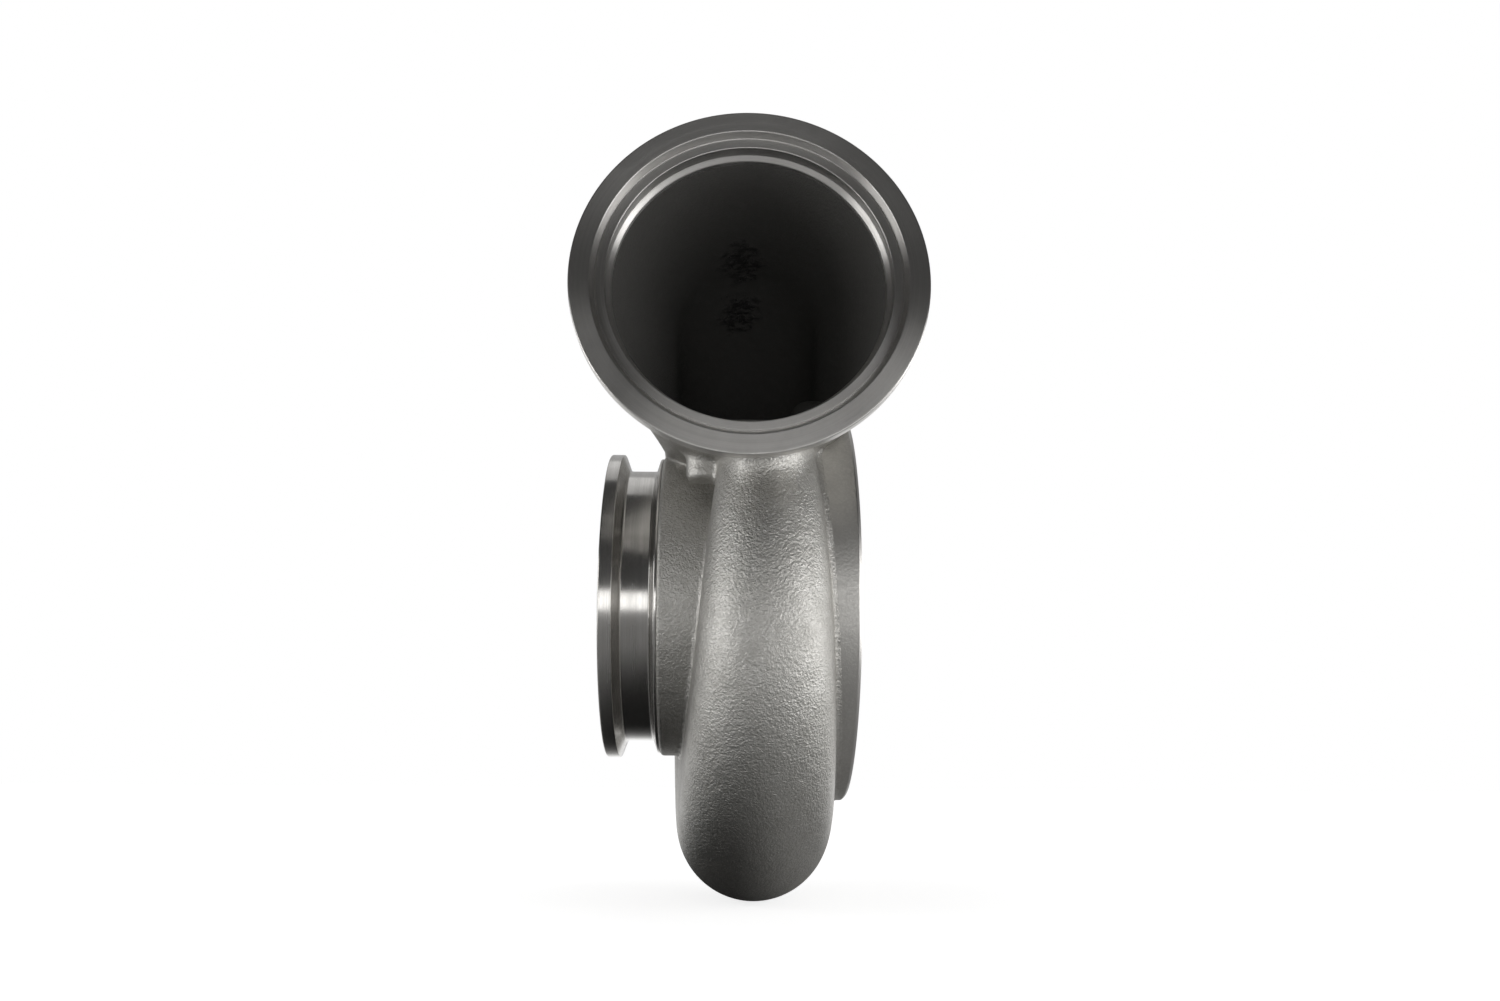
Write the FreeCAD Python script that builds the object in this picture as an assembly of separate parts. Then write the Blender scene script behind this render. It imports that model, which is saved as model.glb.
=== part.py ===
import FreeCAD, Part
import math
import os

# Turbine housing with V-band inlet and outlet, in millimetres.
# X is the turbine axis and points to the centre housing, Z is up, and gas enters along +Y.
# The origin is the centre of the pilot bore's mouth, on the centre housing's mating face.

# V-band flanges, one size at both ports
FLANGE_RADIUS = 46.0
FLANGE_RIM_WIDTH = 3.8
FLANGE_TAPER_DEG = 20.0
FLANGE_EDGE_BREAK = 0.5
NECK_RADIUS = 41.0
NECK_ROOT = 0.9
PORT_RADIUS = 36.9
PORT_LAND = 3.0
REGISTER_RADIUS = 40.4
REGISTER_DEPTH = 1.8
REGISTER_CORNER = 0.35

# Places of the two ports
OUTLET_FACE_X = -70.3
INLET_CENTRE_X = -30.4
INLET_FACE_Y = -81.2
INLET_CENTRE_Z = 72.2
INLET_RING_DEPTH = 7.2
INLET_BORE_RADIUS = 35.0

# Centre housing ring
RING_RADIUS = 58.3
RING_WIDTH = 12.0
RING_EDGE_BREAK = 0.8
PILOT_RADIUS = 45.0
PILOT_DEPTH = 5.0
PILOT_EDGE_BREAK = 0.5
WHEEL_SIDE_RADIUS = 41.5
BOLT_CIRCLE_RADIUS = 51.65
BOLT_COUNT = 8
INSERT_RADIUS = 4.35
INSERT_THREAD_RADIUS = 3.4
INSERT_LENGTH = 9.0
DOWEL_RADIUS = 2.0
DOWEL_LENGTH = 9.0
DOWEL_STAND = 3.0
DOWEL_ANGLE_DEG = 45.0
DOWEL_CHAMFER = 0.4

# Scroll: its section at an angle about the X axis, from the top (0) over the back to the tongue
SCROLL_END_DEG = 330.0
SCROLL_SPLIT_DEG = 90.0
SCROLL_CROWN_START = 113.1
SCROLL_CROWN_DROP = 46.9
SCROLL_HALF_WIDTH_START = 26.8
SCROLL_HALF_WIDTH_END = 14.4
SCROLL_WIDTH_BOW = 10.4
SCROLL_CENTRE_START = -29.5
SCROLL_CENTRE_SHIFT = 4.7
SCROLL_SQUARENESS = 0.34
SCROLL_ROOT_RADIUS = 39.0
SCROLL_WALL = 4.5
PASSAGE_FLOOR_RADIUS = 47.5
WEB_RADIUS = 63.0
WEB_THICKNESS = 4.5
WEB_ROUNDING = 6.0
NOZZLE_WIDTH = 8.5
RELIEF_RADIUS = 64.0
FLOOR_OVERLAP = 1.0

# Cast cove where the front of the scroll meets the underside of the runner
COVE_START_DEG = 284.0
COVE_END_DEG = 296.0
COVE_STEPS = 6
COVE_DEPTH = 9.6
COVE_SPREAD = 2.0
COVE_SUNK = 0.15
COVE_TOP_Z = 39.0
COVE_ROOT_DEPTH = 12.0

# Tongue between the inlet runner and the end of the scroll
TONGUE_TIP_Y = -34.0
TONGUE_THICKNESS = 4.0
TONGUE_TOP_Z = 37.4

# Outlet boss and turbine shroud
BOSS_RADIUS = 45.5
BOSS_FACE_X = -54.5
BOSS_EDGE_RADIUS = 1.2
COLLAR_RADIUS = 44.8
COLLAR_WIDTH = 0.8
COLLAR_SLOPE = 1.2
HUB_BORE_RADIUS = 41.0
SPIGOT_LENGTH = 6.5
SHROUD_FLANGE_RADIUS = 44.5
SHROUD_FLANGE_WIDTH = 3.0
SHROUD_INLET_RADIUS = 36.5
EXDUCER_RADIUS = 31.5
SHROUD_CURVE_LENGTH = 15.0
SHROUD_CURVE_SHARE = 0.35
SHROUD_CURVE_RISE = 0.32

# Small sensor boss under the runner
LUG_X = -42.2
LUG_Y = -44.5
LUG_RADIUS = 4.1
LUG_BOTTOM_Z = 28.4
LUG_TOP_Z = 42.0
LUG_EDGE_RADIUS = 1.6

# How far a cut runs past the metal that it removes
CUT_REACH = 46.0

# Fineness of the lofted surfaces
SECTION_POINTS = 20
RUNNER_STEPS = 8
SCROLL_STEP_DEG = 9.0
LOFT_DEGREE = 3

# Both sides of the nozzle, where the gas leaves the scroll for the wheel
NOZZLE_START_X = -RING_WIDTH - WEB_THICKNESS
NOZZLE_END_X = NOZZLE_START_X - NOZZLE_WIDTH

X_AXIS = FreeCAD.Vector(1, 0, 0)
Y_AXIS = FreeCAD.Vector(0, 1, 0)
Z_AXIS = FreeCAD.Vector(0, 0, 1)


def cylinder(radius, start, end, axis=X_AXIS, through=FreeCAD.Vector(0, 0, 0)):
    """Solid round bar about an axis through a point, from start to end along it."""
    low = min(start, end)
    return Part.makeCylinder(radius, abs(end - start), through + axis * low, axis)


def turned(profile):
    """Solid of revolution about X from (x, radius) corners."""
    points = [FreeCAD.Vector(x, radius, 0) for x, radius in profile]
    face = Part.Face(Part.makePolygon(points + points[:1]))
    return face.revolve(FreeCAD.Vector(0, 0, 0), X_AXIS, 360)


def ring_point(radius, angle_deg, x):
    """Point at a radius about X, turned from +Z towards +Y."""
    angle = math.radians(angle_deg)
    return FreeCAD.Vector(x, radius * math.sin(angle), radius * math.cos(angle))


def section_wire(place, shape):
    """Closed section: an elliptic crown over the waist, and a squared root below it."""
    points = []
    for k in range(SECTION_POINTS):
        turn = 2 * math.pi * k / SECTION_POINTS
        across, out = math.cos(turn), math.sin(turn)
        if out >= 0:
            height = shape["waist"] + (shape["crown"] - shape["waist"]) * out
        else:
            across = math.copysign(abs(across) ** shape["squareness"], across)
            height = shape["waist"] - (shape["waist"] - shape["root"]) * abs(out) ** shape["squareness"]
        points.append(place(shape["centre"] + shape["half_width"] * across, height))
    curve = Part.BSplineCurve()
    curve.interpolate(Points=points, PeriodicFlag=True)
    return Part.Wire([curve.toShape()])


def scroll_shape(angle_deg, wall):
    """Section sizes of the scroll's skin, or of the passage one wall inside it."""
    share = angle_deg / SCROLL_END_DEG
    half_width = (
        SCROLL_HALF_WIDTH_START
        + (SCROLL_HALF_WIDTH_END - SCROLL_HALF_WIDTH_START) * share
        + SCROLL_WIDTH_BOW * share * (1 - share)
    )
    crown = SCROLL_CROWN_START - SCROLL_CROWN_DROP * share
    return {
        "centre": SCROLL_CENTRE_START + SCROLL_CENTRE_SHIFT * share,
        "half_width": half_width - wall,
        "crown": crown - wall,
        "waist": crown - half_width,
        "root": PASSAGE_FLOOR_RADIUS if wall else SCROLL_ROOT_RADIUS,
        "squareness": SCROLL_SQUARENESS,
    }


def runner_shape(share, passage):
    """Section sizes of the inlet runner, which blends from the round neck into the scroll."""
    neck_radius = INLET_BORE_RADIUS if passage else NECK_RADIUS
    neck = {
        "centre": INLET_CENTRE_X,
        "half_width": neck_radius,
        "crown": INLET_CENTRE_Z + neck_radius,
        "waist": INLET_CENTRE_Z,
        "root": INLET_CENTRE_Z - neck_radius,
        "squareness": 1.0,
    }
    scroll = scroll_shape(0.0, SCROLL_WALL if passage else 0.0)
    blend = share * share * (3 - 2 * share)
    return {name: neck[name] + (scroll[name] - neck[name]) * blend for name in neck}


def scroll_wire(angle_deg, passage):
    """Section of the scroll at an angle about X."""
    shape = scroll_shape(angle_deg, SCROLL_WALL if passage else 0.0)
    return section_wire(lambda x, radius: ring_point(radius, angle_deg, x), shape)


def runner_wire(share, passage):
    """Section of the runner at a share of its way from the neck to the scroll."""
    y = (INLET_FACE_Y + INLET_RING_DEPTH) * (1 - share)
    return section_wire(lambda x, z: FreeCAD.Vector(x, y, z), runner_shape(share, passage))


def spread(start, end, step):
    """Evenly spaced values from start to end, both included."""
    count = max(1, round((end - start) / step))
    return [start + (end - start) * k / count for k in range(count + 1)]


def scroll_bodies(passage):
    """The inlet runner with the scroll's first part, and the rest of the scroll, as two solids."""
    wires = [runner_wire(k / RUNNER_STEPS, passage) for k in range(RUNNER_STEPS)]
    wires += [scroll_wire(a, passage) for a in spread(0.0, SCROLL_SPLIT_DEG, SCROLL_STEP_DEG)]
    first = Part.makeLoft(wires, True, False, False, LOFT_DEGREE)
    wires = [scroll_wire(a, passage) for a in spread(SCROLL_SPLIT_DEG, SCROLL_END_DEG, SCROLL_STEP_DEG)]
    rest = Part.makeLoft(wires, True, False, False, LOFT_DEGREE)
    return first, rest


def cove_wire(share):
    """Level section of the cove: the scroll's front, standing further forward towards the neck."""
    angle_deg = COVE_START_DEG + (COVE_END_DEG - COVE_START_DEG) * share
    scroll = scroll_shape(angle_deg, 0.0)
    front = ring_point(scroll["crown"], angle_deg, 0)
    forward = COVE_DEPTH * (1 - math.sqrt(1 - share * share)) - COVE_SUNK
    waist = math.sqrt(scroll["waist"] ** 2 - front.z ** 2)
    shape = {
        "centre": scroll["centre"],
        "half_width": scroll["half_width"] - COVE_SUNK + COVE_SPREAD * share * share,
        "crown": forward - front.y,
        "waist": waist,
        "root": waist - COVE_ROOT_DEPTH,
        "squareness": SCROLL_SQUARENESS,
    }
    return lambda z: section_wire(lambda x, depth: FreeCAD.Vector(x, -depth, z), shape), front.z


def scroll_cove():
    """Flared web of metal that carries the scroll's front up into the runner's neck."""
    wires = []
    for k in range(COVE_STEPS + 1):
        at_height, z = cove_wire(k / COVE_STEPS)
        wires.append(at_height(z))
    lower = Part.makeLoft(wires, True, False, False, LOFT_DEGREE)
    upper = Part.makeLoft([wires[-1], at_height(COVE_TOP_Z)], True, True)
    return lower, upper


def tongue():
    """Flat wall with a rounded tip that parts the runner's floor from the end of the scroll."""
    low_z = TONGUE_TOP_Z - TONGUE_THICKNESS
    plate = Part.makeBox(
        2 * CUT_REACH,
        TONGUE_TIP_Y - INLET_FACE_Y,
        TONGUE_THICKNESS,
        FreeCAD.Vector(INLET_CENTRE_X - CUT_REACH, INLET_FACE_Y, low_z),
    )
    tip_centre = FreeCAD.Vector(0, TONGUE_TIP_Y, TONGUE_TOP_Z - TONGUE_THICKNESS / 2)
    tip = cylinder(
        TONGUE_THICKNESS / 2,
        INLET_CENTRE_X - CUT_REACH,
        INLET_CENTRE_X + CUT_REACH,
        through=tip_centre,
    )
    return plate.fuse(tip)


def ring_web():
    """Metal left round the ring inside the passage, rounded where the gas runs over it."""
    web = cylinder(WEB_RADIUS, NOZZLE_START_X, CUT_REACH)
    inner = [e for e in web.Edges if e.Closed and e.CenterOfMass.x < 0]
    return web.makeFillet(WEB_ROUNDING, inner)


def gas_passage():
    """Hollow of the casting: runner and scroll passage, less the tongue and the ring's web."""
    first, rest = scroll_bodies(True)
    return first.fuse(rest).cut(tongue()).cut(ring_web())


def outlet_boss():
    """Round cast boss from the scroll to the outlet flange, with a rounded front edge."""
    edge = BOSS_EDGE_RADIUS
    boss = cylinder(BOSS_RADIUS, BOSS_FACE_X, INLET_CENTRE_X)
    front = [e for e in boss.Edges if abs(e.CenterOfMass.x - BOSS_FACE_X) < edge]
    return boss.makeFillet(edge, [e for e in front if e.Closed])


def sensor_lug():
    """Short upright round boss with a rounded lower end."""
    through = FreeCAD.Vector(LUG_X, LUG_Y, 0)
    lug = cylinder(LUG_RADIUS, LUG_BOTTOM_Z, LUG_TOP_Z, Z_AXIS, through)
    low = [e for e in lug.Edges if e.Closed and abs(e.CenterOfMass.z - LUG_BOTTOM_Z) < LUG_EDGE_RADIUS]
    return lug.makeFillet(LUG_EDGE_RADIUS, low)


def scroll_casting():
    """Investment-cast shell: inlet runner, scroll, outlet boss and sensor boss, hollowed out."""
    first, rest = scroll_bodies(False)
    body = first.fuse(rest).fuse([*scroll_cove(), outlet_boss(), sensor_lug()])
    ring_seat = cylinder(RING_RADIUS, -RING_WIDTH, CUT_REACH)
    relief = cylinder(RELIEF_RADIUS, 0, CUT_REACH)
    hub_bore = cylinder(HUB_BORE_RADIUS, BOSS_FACE_X, NOZZLE_END_X)
    shroud_seat = cylinder(SHROUD_FLANGE_RADIUS, NOZZLE_END_X - SHROUD_FLANGE_WIDTH, NOZZLE_END_X)
    nozzle = cylinder(PASSAGE_FLOOR_RADIUS + FLOOR_OVERLAP, NOZZLE_END_X, NOZZLE_START_X)
    wheel_side = cylinder(WHEEL_SIDE_RADIUS, NOZZLE_START_X, -RING_WIDTH)
    cuts = [gas_passage(), ring_seat, relief, hub_bore, shroud_seat, nozzle, wheel_side]
    return body.cut(cuts)


def vband_profile():
    """Outline shared by both flanges, from the face at 0 inwards: outside, then inside corners."""
    taper = math.tan(math.radians(FLANGE_TAPER_DEG))
    neck_start = FLANGE_RIM_WIDTH + (FLANGE_RADIUS - NECK_RADIUS) * taper
    outside = [
        (0, FLANGE_RADIUS - FLANGE_EDGE_BREAK),
        (FLANGE_EDGE_BREAK, FLANGE_RADIUS),
        (FLANGE_RIM_WIDTH, FLANGE_RADIUS),
        (neck_start - NECK_ROOT * taper, NECK_RADIUS + NECK_ROOT),
        (neck_start + NECK_ROOT, NECK_RADIUS),
    ]
    inside = [
        (REGISTER_DEPTH + PORT_LAND, PORT_RADIUS),
        (REGISTER_DEPTH, PORT_RADIUS),
        (REGISTER_DEPTH, REGISTER_RADIUS - REGISTER_CORNER),
        (REGISTER_DEPTH + REGISTER_CORNER, REGISTER_RADIUS),
        (0, REGISTER_RADIUS),
    ]
    return outside, inside


def inlet_vband_flange():
    """Machined inlet ring: V-band rim, female register, short bore land and the neck behind it."""
    outside, inside = vband_profile()
    end = INLET_RING_DEPTH
    profile = outside + [(end, NECK_RADIUS), (end, INLET_BORE_RADIUS)] + inside
    ring = turned(profile)
    ring.rotate(FreeCAD.Vector(0, 0, 0), Z_AXIS, 90)
    ring.translate(FreeCAD.Vector(INLET_CENTRE_X, INLET_FACE_Y, INLET_CENTRE_Z))
    return ring


def outlet_vband_flange():
    """Machined outlet ring: V-band rim, neck, collar against the boss and a spigot inside it."""
    outside, inside = vband_profile()
    seat = BOSS_FACE_X - OUTLET_FACE_X
    end = seat + SPIGOT_LENGTH
    tail = [
        (seat - COLLAR_WIDTH - COLLAR_SLOPE, NECK_RADIUS),
        (seat - COLLAR_WIDTH, COLLAR_RADIUS),
        (seat, COLLAR_RADIUS),
        (seat, HUB_BORE_RADIUS),
        (end, HUB_BORE_RADIUS),
        (end, EXDUCER_RADIUS),
    ]
    ring = turned(outside + tail + inside)
    ring.translate(FreeCAD.Vector(OUTLET_FACE_X, 0, 0))
    return ring


def centre_housing_ring():
    """Ring that the centre housing bolts to: pilot bore, tapped holes and a dowel hole."""
    edge = RING_EDGE_BREAK
    ring = turned([
        (-RING_WIDTH, WHEEL_SIDE_RADIUS),
        (-RING_WIDTH, RING_RADIUS),
        (-edge, RING_RADIUS),
        (0, RING_RADIUS - edge),
        (0, PILOT_RADIUS + PILOT_EDGE_BREAK),
        (-PILOT_EDGE_BREAK, PILOT_RADIUS),
        (-PILOT_DEPTH, PILOT_RADIUS),
        (-PILOT_DEPTH, WHEEL_SIDE_RADIUS),
    ])
    holes = [
        cylinder(INSERT_RADIUS, -INSERT_LENGTH, 0, through=centre)
        for centre in bolt_centres()
    ]
    dowel_hole = cylinder(DOWEL_RADIUS, DOWEL_STAND - DOWEL_LENGTH, 0, through=dowel_centre())
    return ring.cut(holes + [dowel_hole])


def bolt_centres():
    """Centres of the tapped holes on the mating face."""
    step = 360.0 / BOLT_COUNT
    return [ring_point(BOLT_CIRCLE_RADIUS, step * (k + 0.5), 0) for k in range(BOLT_COUNT)]


def dowel_centre():
    """Centre of the dowel on the mating face."""
    return ring_point(BOLT_CIRCLE_RADIUS, DOWEL_ANGLE_DEG, 0)


def thread_inserts():
    """Tubular thread inserts, one in each tapped hole, flush with the mating face."""
    inserts = []
    for centre in bolt_centres():
        sleeve = cylinder(INSERT_RADIUS, -INSERT_LENGTH, 0, through=centre)
        inserts.append(sleeve.cut(cylinder(INSERT_THREAD_RADIUS, -INSERT_LENGTH, 0, through=centre)))
    return Part.makeCompound(inserts)


def locating_dowel():
    """Pin that clocks the centre housing, with chamfered ends."""
    pin = cylinder(DOWEL_RADIUS, DOWEL_STAND - DOWEL_LENGTH, DOWEL_STAND, through=dowel_centre())
    outer_end = [e for e in pin.Edges if e.Closed and e.CenterOfMass.x > 0]
    return pin.makeChamfer(DOWEL_CHAMFER, outer_end)


def turbine_shroud():
    """Liner in the hub bore: the wheel's contour from the nozzle to the exducer."""
    start = BOSS_FACE_X + SPIGOT_LENGTH
    outside = [
        (start, EXDUCER_RADIUS),
        (start, HUB_BORE_RADIUS),
        (NOZZLE_END_X - SHROUD_FLANGE_WIDTH, HUB_BORE_RADIUS),
        (NOZZLE_END_X - SHROUD_FLANGE_WIDTH, SHROUD_FLANGE_RADIUS),
        (NOZZLE_END_X, SHROUD_FLANGE_RADIUS),
        (NOZZLE_END_X, SHROUD_INLET_RADIUS),
    ]
    points = [FreeCAD.Vector(x, radius, 0) for x, radius in outside]
    throat = FreeCAD.Vector(NOZZLE_END_X - SHROUD_CURVE_LENGTH, EXDUCER_RADIUS, 0)
    middle = FreeCAD.Vector(
        NOZZLE_END_X - SHROUD_CURVE_LENGTH * SHROUD_CURVE_SHARE,
        EXDUCER_RADIUS + (SHROUD_INLET_RADIUS - EXDUCER_RADIUS) * SHROUD_CURVE_RISE,
        0,
    )
    edges = [Part.makeLine(a, b) for a, b in zip(points, points[1:])]
    edges.append(Part.Arc(points[-1], middle, throat).toShape())
    edges.append(Part.makeLine(throat, points[0]))
    return Part.Face(Part.Wire(edges)).revolve(FreeCAD.Vector(0, 0, 0), X_AXIS, 360)


PIECES = {
    "scroll_casting": scroll_casting,
    "inlet_vband_flange": inlet_vband_flange,
    "outlet_vband_flange": outlet_vband_flange,
    "centre_housing_ring": centre_housing_ring,
    "turbine_shroud": turbine_shroud,
    "thread_inserts": thread_inserts,
    "locating_dowel": locating_dowel,
}


def main():
    """Writes each piece to its own file."""
    os.makedirs("parts", exist_ok=True)
    for name, build in PIECES.items():
        shape = build()
        shape.exportStep(os.path.join("parts", name + ".step"))
        print(name, shape.isValid(), len(shape.Solids), round(shape.Volume))


main()
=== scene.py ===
import logging
import math
from dataclasses import dataclass
from enum import Enum
from typing import Callable

import bpy
import numpy as np
from mathutils import Matrix


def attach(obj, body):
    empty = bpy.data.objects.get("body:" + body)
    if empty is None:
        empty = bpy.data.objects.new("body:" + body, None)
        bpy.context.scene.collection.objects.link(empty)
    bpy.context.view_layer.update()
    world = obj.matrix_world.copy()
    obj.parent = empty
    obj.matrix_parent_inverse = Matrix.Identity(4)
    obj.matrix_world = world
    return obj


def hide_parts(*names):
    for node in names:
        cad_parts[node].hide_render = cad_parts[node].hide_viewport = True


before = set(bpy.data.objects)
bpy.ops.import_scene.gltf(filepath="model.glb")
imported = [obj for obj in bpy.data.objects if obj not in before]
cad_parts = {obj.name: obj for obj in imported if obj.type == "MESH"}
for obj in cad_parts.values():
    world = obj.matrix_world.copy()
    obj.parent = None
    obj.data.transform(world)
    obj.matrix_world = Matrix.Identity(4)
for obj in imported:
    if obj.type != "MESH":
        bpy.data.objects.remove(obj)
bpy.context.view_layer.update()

# Turbine housing: an investment-cast scroll with turned V-band rings and a bolted centre housing ring.
# Sizes are in millimetres and become metres when a mesh is made. X is the turbine axis, Z is up.

LOG = logging.getLogger("turbine_housing")
MM = 0.001
BODY = "root"
TINY = 1e-9
BOLTS = 8
BOLT_CIRCLE = 51.65
DOWEL_DEG = 45
Array = np.ndarray
Field = Callable[[Array, Array, Array], Array]
Pair = tuple[float, float]
Triple = tuple[float, float, float]
Piece = bpy.types.Object
Socket = bpy.types.NodeSocket
Tree = bpy.types.NodeTree


class Axis(Enum):
    """Direction in which a turned piece's outline runs, from its face inwards."""

    ALONG_X = "X"
    ALONG_Y = "Y"

    def order(self) -> list[int]:
        """Numbers of the coordinates along the axis and on its two sides."""
        first = "XYZ".index(self.value)
        return [first, (first + 1) % 3, (first + 2) % 3]


class Marks(Enum):
    """What the tool or the mould leaves on a surface."""

    CAST = "cast"
    TURNED = "turned"
    BLASTED = "blasted"


# Shapes worked out with arrays

def soft_union(first: Array, second: Array, reach: Array | float) -> Array:
    """Joins two distance fields with a fillet.

    The lesser field, lowered by share squared times reach over 4, where share falls from 1 to 0 as the
    two fields draw apart by reach.

    Args:
        first: Distances to one shape, below 0 inside it.
        second: Distances to the other shape.
        reach: How far apart the two may be and still be blended.

    Returns:
        The joined field.
    """
    share = np.clip(1 - np.abs(first - second) / reach, 0, 1)
    return np.minimum(first, second) - share * share * reach / 4


def rounded_corner(across: Array, along: Array, radius: float) -> Array:
    """Field of a convex corner between two faces, both measured outwards, rounded by a radius."""
    across, along = across + radius, along + radius
    outside = np.hypot(np.maximum(across, 0), np.maximum(along, 0))
    return outside + np.minimum(np.maximum(across, along), 0) - radius


def section_field(lateral: Array, outward: Array, size: dict[str, Array]) -> Array:
    """Distance to a section: an elliptic crown over its waist and a squared root below it.

    With p = 2 above the waist and the given power below it, G = (|lateral / half_width|^p +
    |outward / height|^p)^(1 / p) is 1 on the section, and (G - 1) over the length of its gradient is
    the distance.

    Args:
        lateral: Distance across the section from its middle line.
        outward: Distance out from its waist.
        size: Its half_width, rise, drop and power.

    Returns:
        The distance, below 0 inside the section.
    """
    height = np.where(outward > 0, size["rise"], size["drop"])
    power = np.where(outward > 0, 2.0, size["power"])
    above_zero = 1e-6
    side = np.abs(lateral) / size["half_width"] + above_zero
    rise = np.abs(outward) / height + above_zero
    level = (side**power + rise**power) ** (1 / power)
    slope = np.hypot(
        (side / level) ** (power - 1) / size["half_width"], (rise / level) ** (power - 1) / height
    )
    return (level - 1) / slope


def gradient(field: Field, points: Array, step: float = 0.05) -> Array:
    """Slope of a field at points given as rows: (f(p + s) - f(p - s)) / 2s on each axis, for a step s."""
    shifts = np.eye(3) * step
    ends = [(field(*(points + s).T) - field(*(points - s).T)) / (2 * step) for s in shifts]
    return np.stack(ends, axis=1)


def surface_net(
    field: Field,
    grid: tuple[Array, Array, Array],
    rounds: int = 3,
    most_move: float = 0.6,
    least_square: float = 0.05,
) -> tuple[Array, Array, Array]:
    """Closed mesh of quads where a field is 0.

    Every grid cell that the surface passes through gets one vertex, at the mean of the crossings on its
    twelve edges, and every grid edge that it crosses gets a quad of the four cells round it. Each vertex
    then moves along the field's slope, by the field over the slope's length, onto the surface.

    Args:
        field: The field, below 0 inside.
        grid: Coordinates of the grid planes on each axis.
        rounds: How often the vertices move.
        most_move: Longest move at a time, as a share of the widest grid step.
        least_square: Least square of the slope's length that a move is divided by.

    Returns:
        Vertices, quads and vertex normals.
    """
    values = field(*np.meshgrid(*grid, indexing="ij"))
    inside = values < 0
    corners = np.array(np.meshgrid([0, 1], [0, 1], [0, 1], indexing="ij")).reshape(3, -1).T
    shape = np.array(values.shape) - 1
    count = np.zeros(shape, np.int8)
    for corner in corners:
        count += inside[tuple(slice(c, c + n) for c, n in zip(corner, shape))]
    mixed = (count > 0) & (count < 8)
    cells = np.argwhere(mixed)
    index = np.full(mixed.shape, -1)
    index[mixed] = np.arange(len(cells))
    total, hits = np.zeros((len(cells), 3)), np.zeros(len(cells))
    quads = []
    for axis in range(3):
        unit = np.eye(3, dtype=int)[axis]
        for corner in corners[corners[:, axis] == 0]:
            low, high = cells + corner, cells + corner + unit
            a, b = values[tuple(low.T)], values[tuple(high.T)]
            crossed = (a < 0) != (b < 0)
            share = np.where(crossed, a / np.where(crossed, a - b, 1), 0)[:, None]
            start = np.stack([grid[k][low[:, k]] for k in range(3)], axis=1)
            end = np.stack([grid[k][high[:, k]] for k in range(3)], axis=1)
            total += (start + (end - start) * share) * crossed[:, None]
            hits += crossed
        near = np.take(inside, range(shape[axis]), axis)
        far = np.take(inside, range(1, shape[axis] + 1), axis)
        edges = np.argwhere(near != far)
        one, two = (axis + 1) % 3, (axis + 2) % 3
        edges = edges[(edges[:, one] > 0) & (edges[:, two] > 0)]
        back_one, back_two = np.eye(3, dtype=int)[one], np.eye(3, dtype=int)[two]
        loop = [edges - back_one - back_two, edges - back_two, edges, edges - back_one]
        ring = np.stack([index[tuple(cell.T)] for cell in loop], axis=1)
        outward = near[tuple(edges.T)]
        quads.append(np.where(outward[:, None], ring, ring[:, ::-1]))
    points = total / hits[:, None]
    limit = most_move * max(np.diff(planes).max() for planes in grid)
    for _ in range(rounds):
        slope = gradient(field, points)
        square = np.maximum((slope**2).sum(1), least_square)
        move = (field(*points.T) / square)[:, None] * slope
        length = np.maximum(np.linalg.norm(move, axis=1, keepdims=True), TINY)
        points = points - move * np.minimum(1, limit / length)
    slope = gradient(field, points)
    normals = slope / np.maximum(np.linalg.norm(slope, axis=1, keepdims=True), TINY)
    return points, np.concatenate(quads), normals


def rounded_outline(corners: list[Triple], steps: int = 4) -> tuple[Array, Array]:
    """Closed outline with rounded corners.

    Each corner P with a cut c becomes the curve (1 - s)² A + 2 s (1 - s) P + s² B, where A and B lie at c
    from P on its two edges.

    Args:
        corners: Place along the axis, radius and cut of each corner.
        steps: Spans in each rounded corner.

    Returns:
        Points and outward normals of the outline, as rows of (axial, radial).
    """
    table = np.array(corners, float)
    point, cut = table[:, None, :2], table[:, None, 2:]
    to_last = np.roll(point, 1, axis=0) - point
    to_next = np.roll(point, -1, axis=0) - point
    start = point + cut * to_last / np.linalg.norm(to_last, axis=2, keepdims=True)
    end = point + cut * to_next / np.linalg.norm(to_next, axis=2, keepdims=True)
    s = np.linspace(0, 1, steps + 1)[None, :, None]
    curve = (1 - s) ** 2 * start + 2 * s * (1 - s) * point + s**2 * end
    heading = (1 - s) * (point - start) + s * (end - point)
    heading /= np.linalg.norm(heading, axis=2, keepdims=True)
    normals = np.stack([-heading[..., 1], heading[..., 0]], axis=2)
    return curve.reshape(-1, 2), normals.reshape(-1, 2)


def revolve(outline: Array, turn: Array, directions: Array) -> Array:
    """Rows (a, r) of an outline at every angle of a turn: a·axis + r (cos·side + sin·other side)."""
    along, side, other = directions
    out = np.cos(turn)[:, None] * side + np.sin(turn)[:, None] * other
    return (outline[:, None, :1] * along + outline[:, None, 1:] * out).reshape(-1, 3)


def turned_grid(rows: int, count: int, wrap: bool = True) -> Array:
    """Quads of a grid of rows by count points that closes round the axis, and from last row to first."""
    i = np.arange(rows if wrap else rows - 1)[:, None]
    j = np.arange(count)[None, :]
    next_i, next_j = (i + 1) % rows, (j + 1) % count
    corners = [i * count + j, i * count + next_j, next_i * count + next_j, next_i * count + j]
    return np.stack([np.broadcast_to(c, (i.size, count)) for c in corners], axis=2).reshape(-1, 4)


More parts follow.
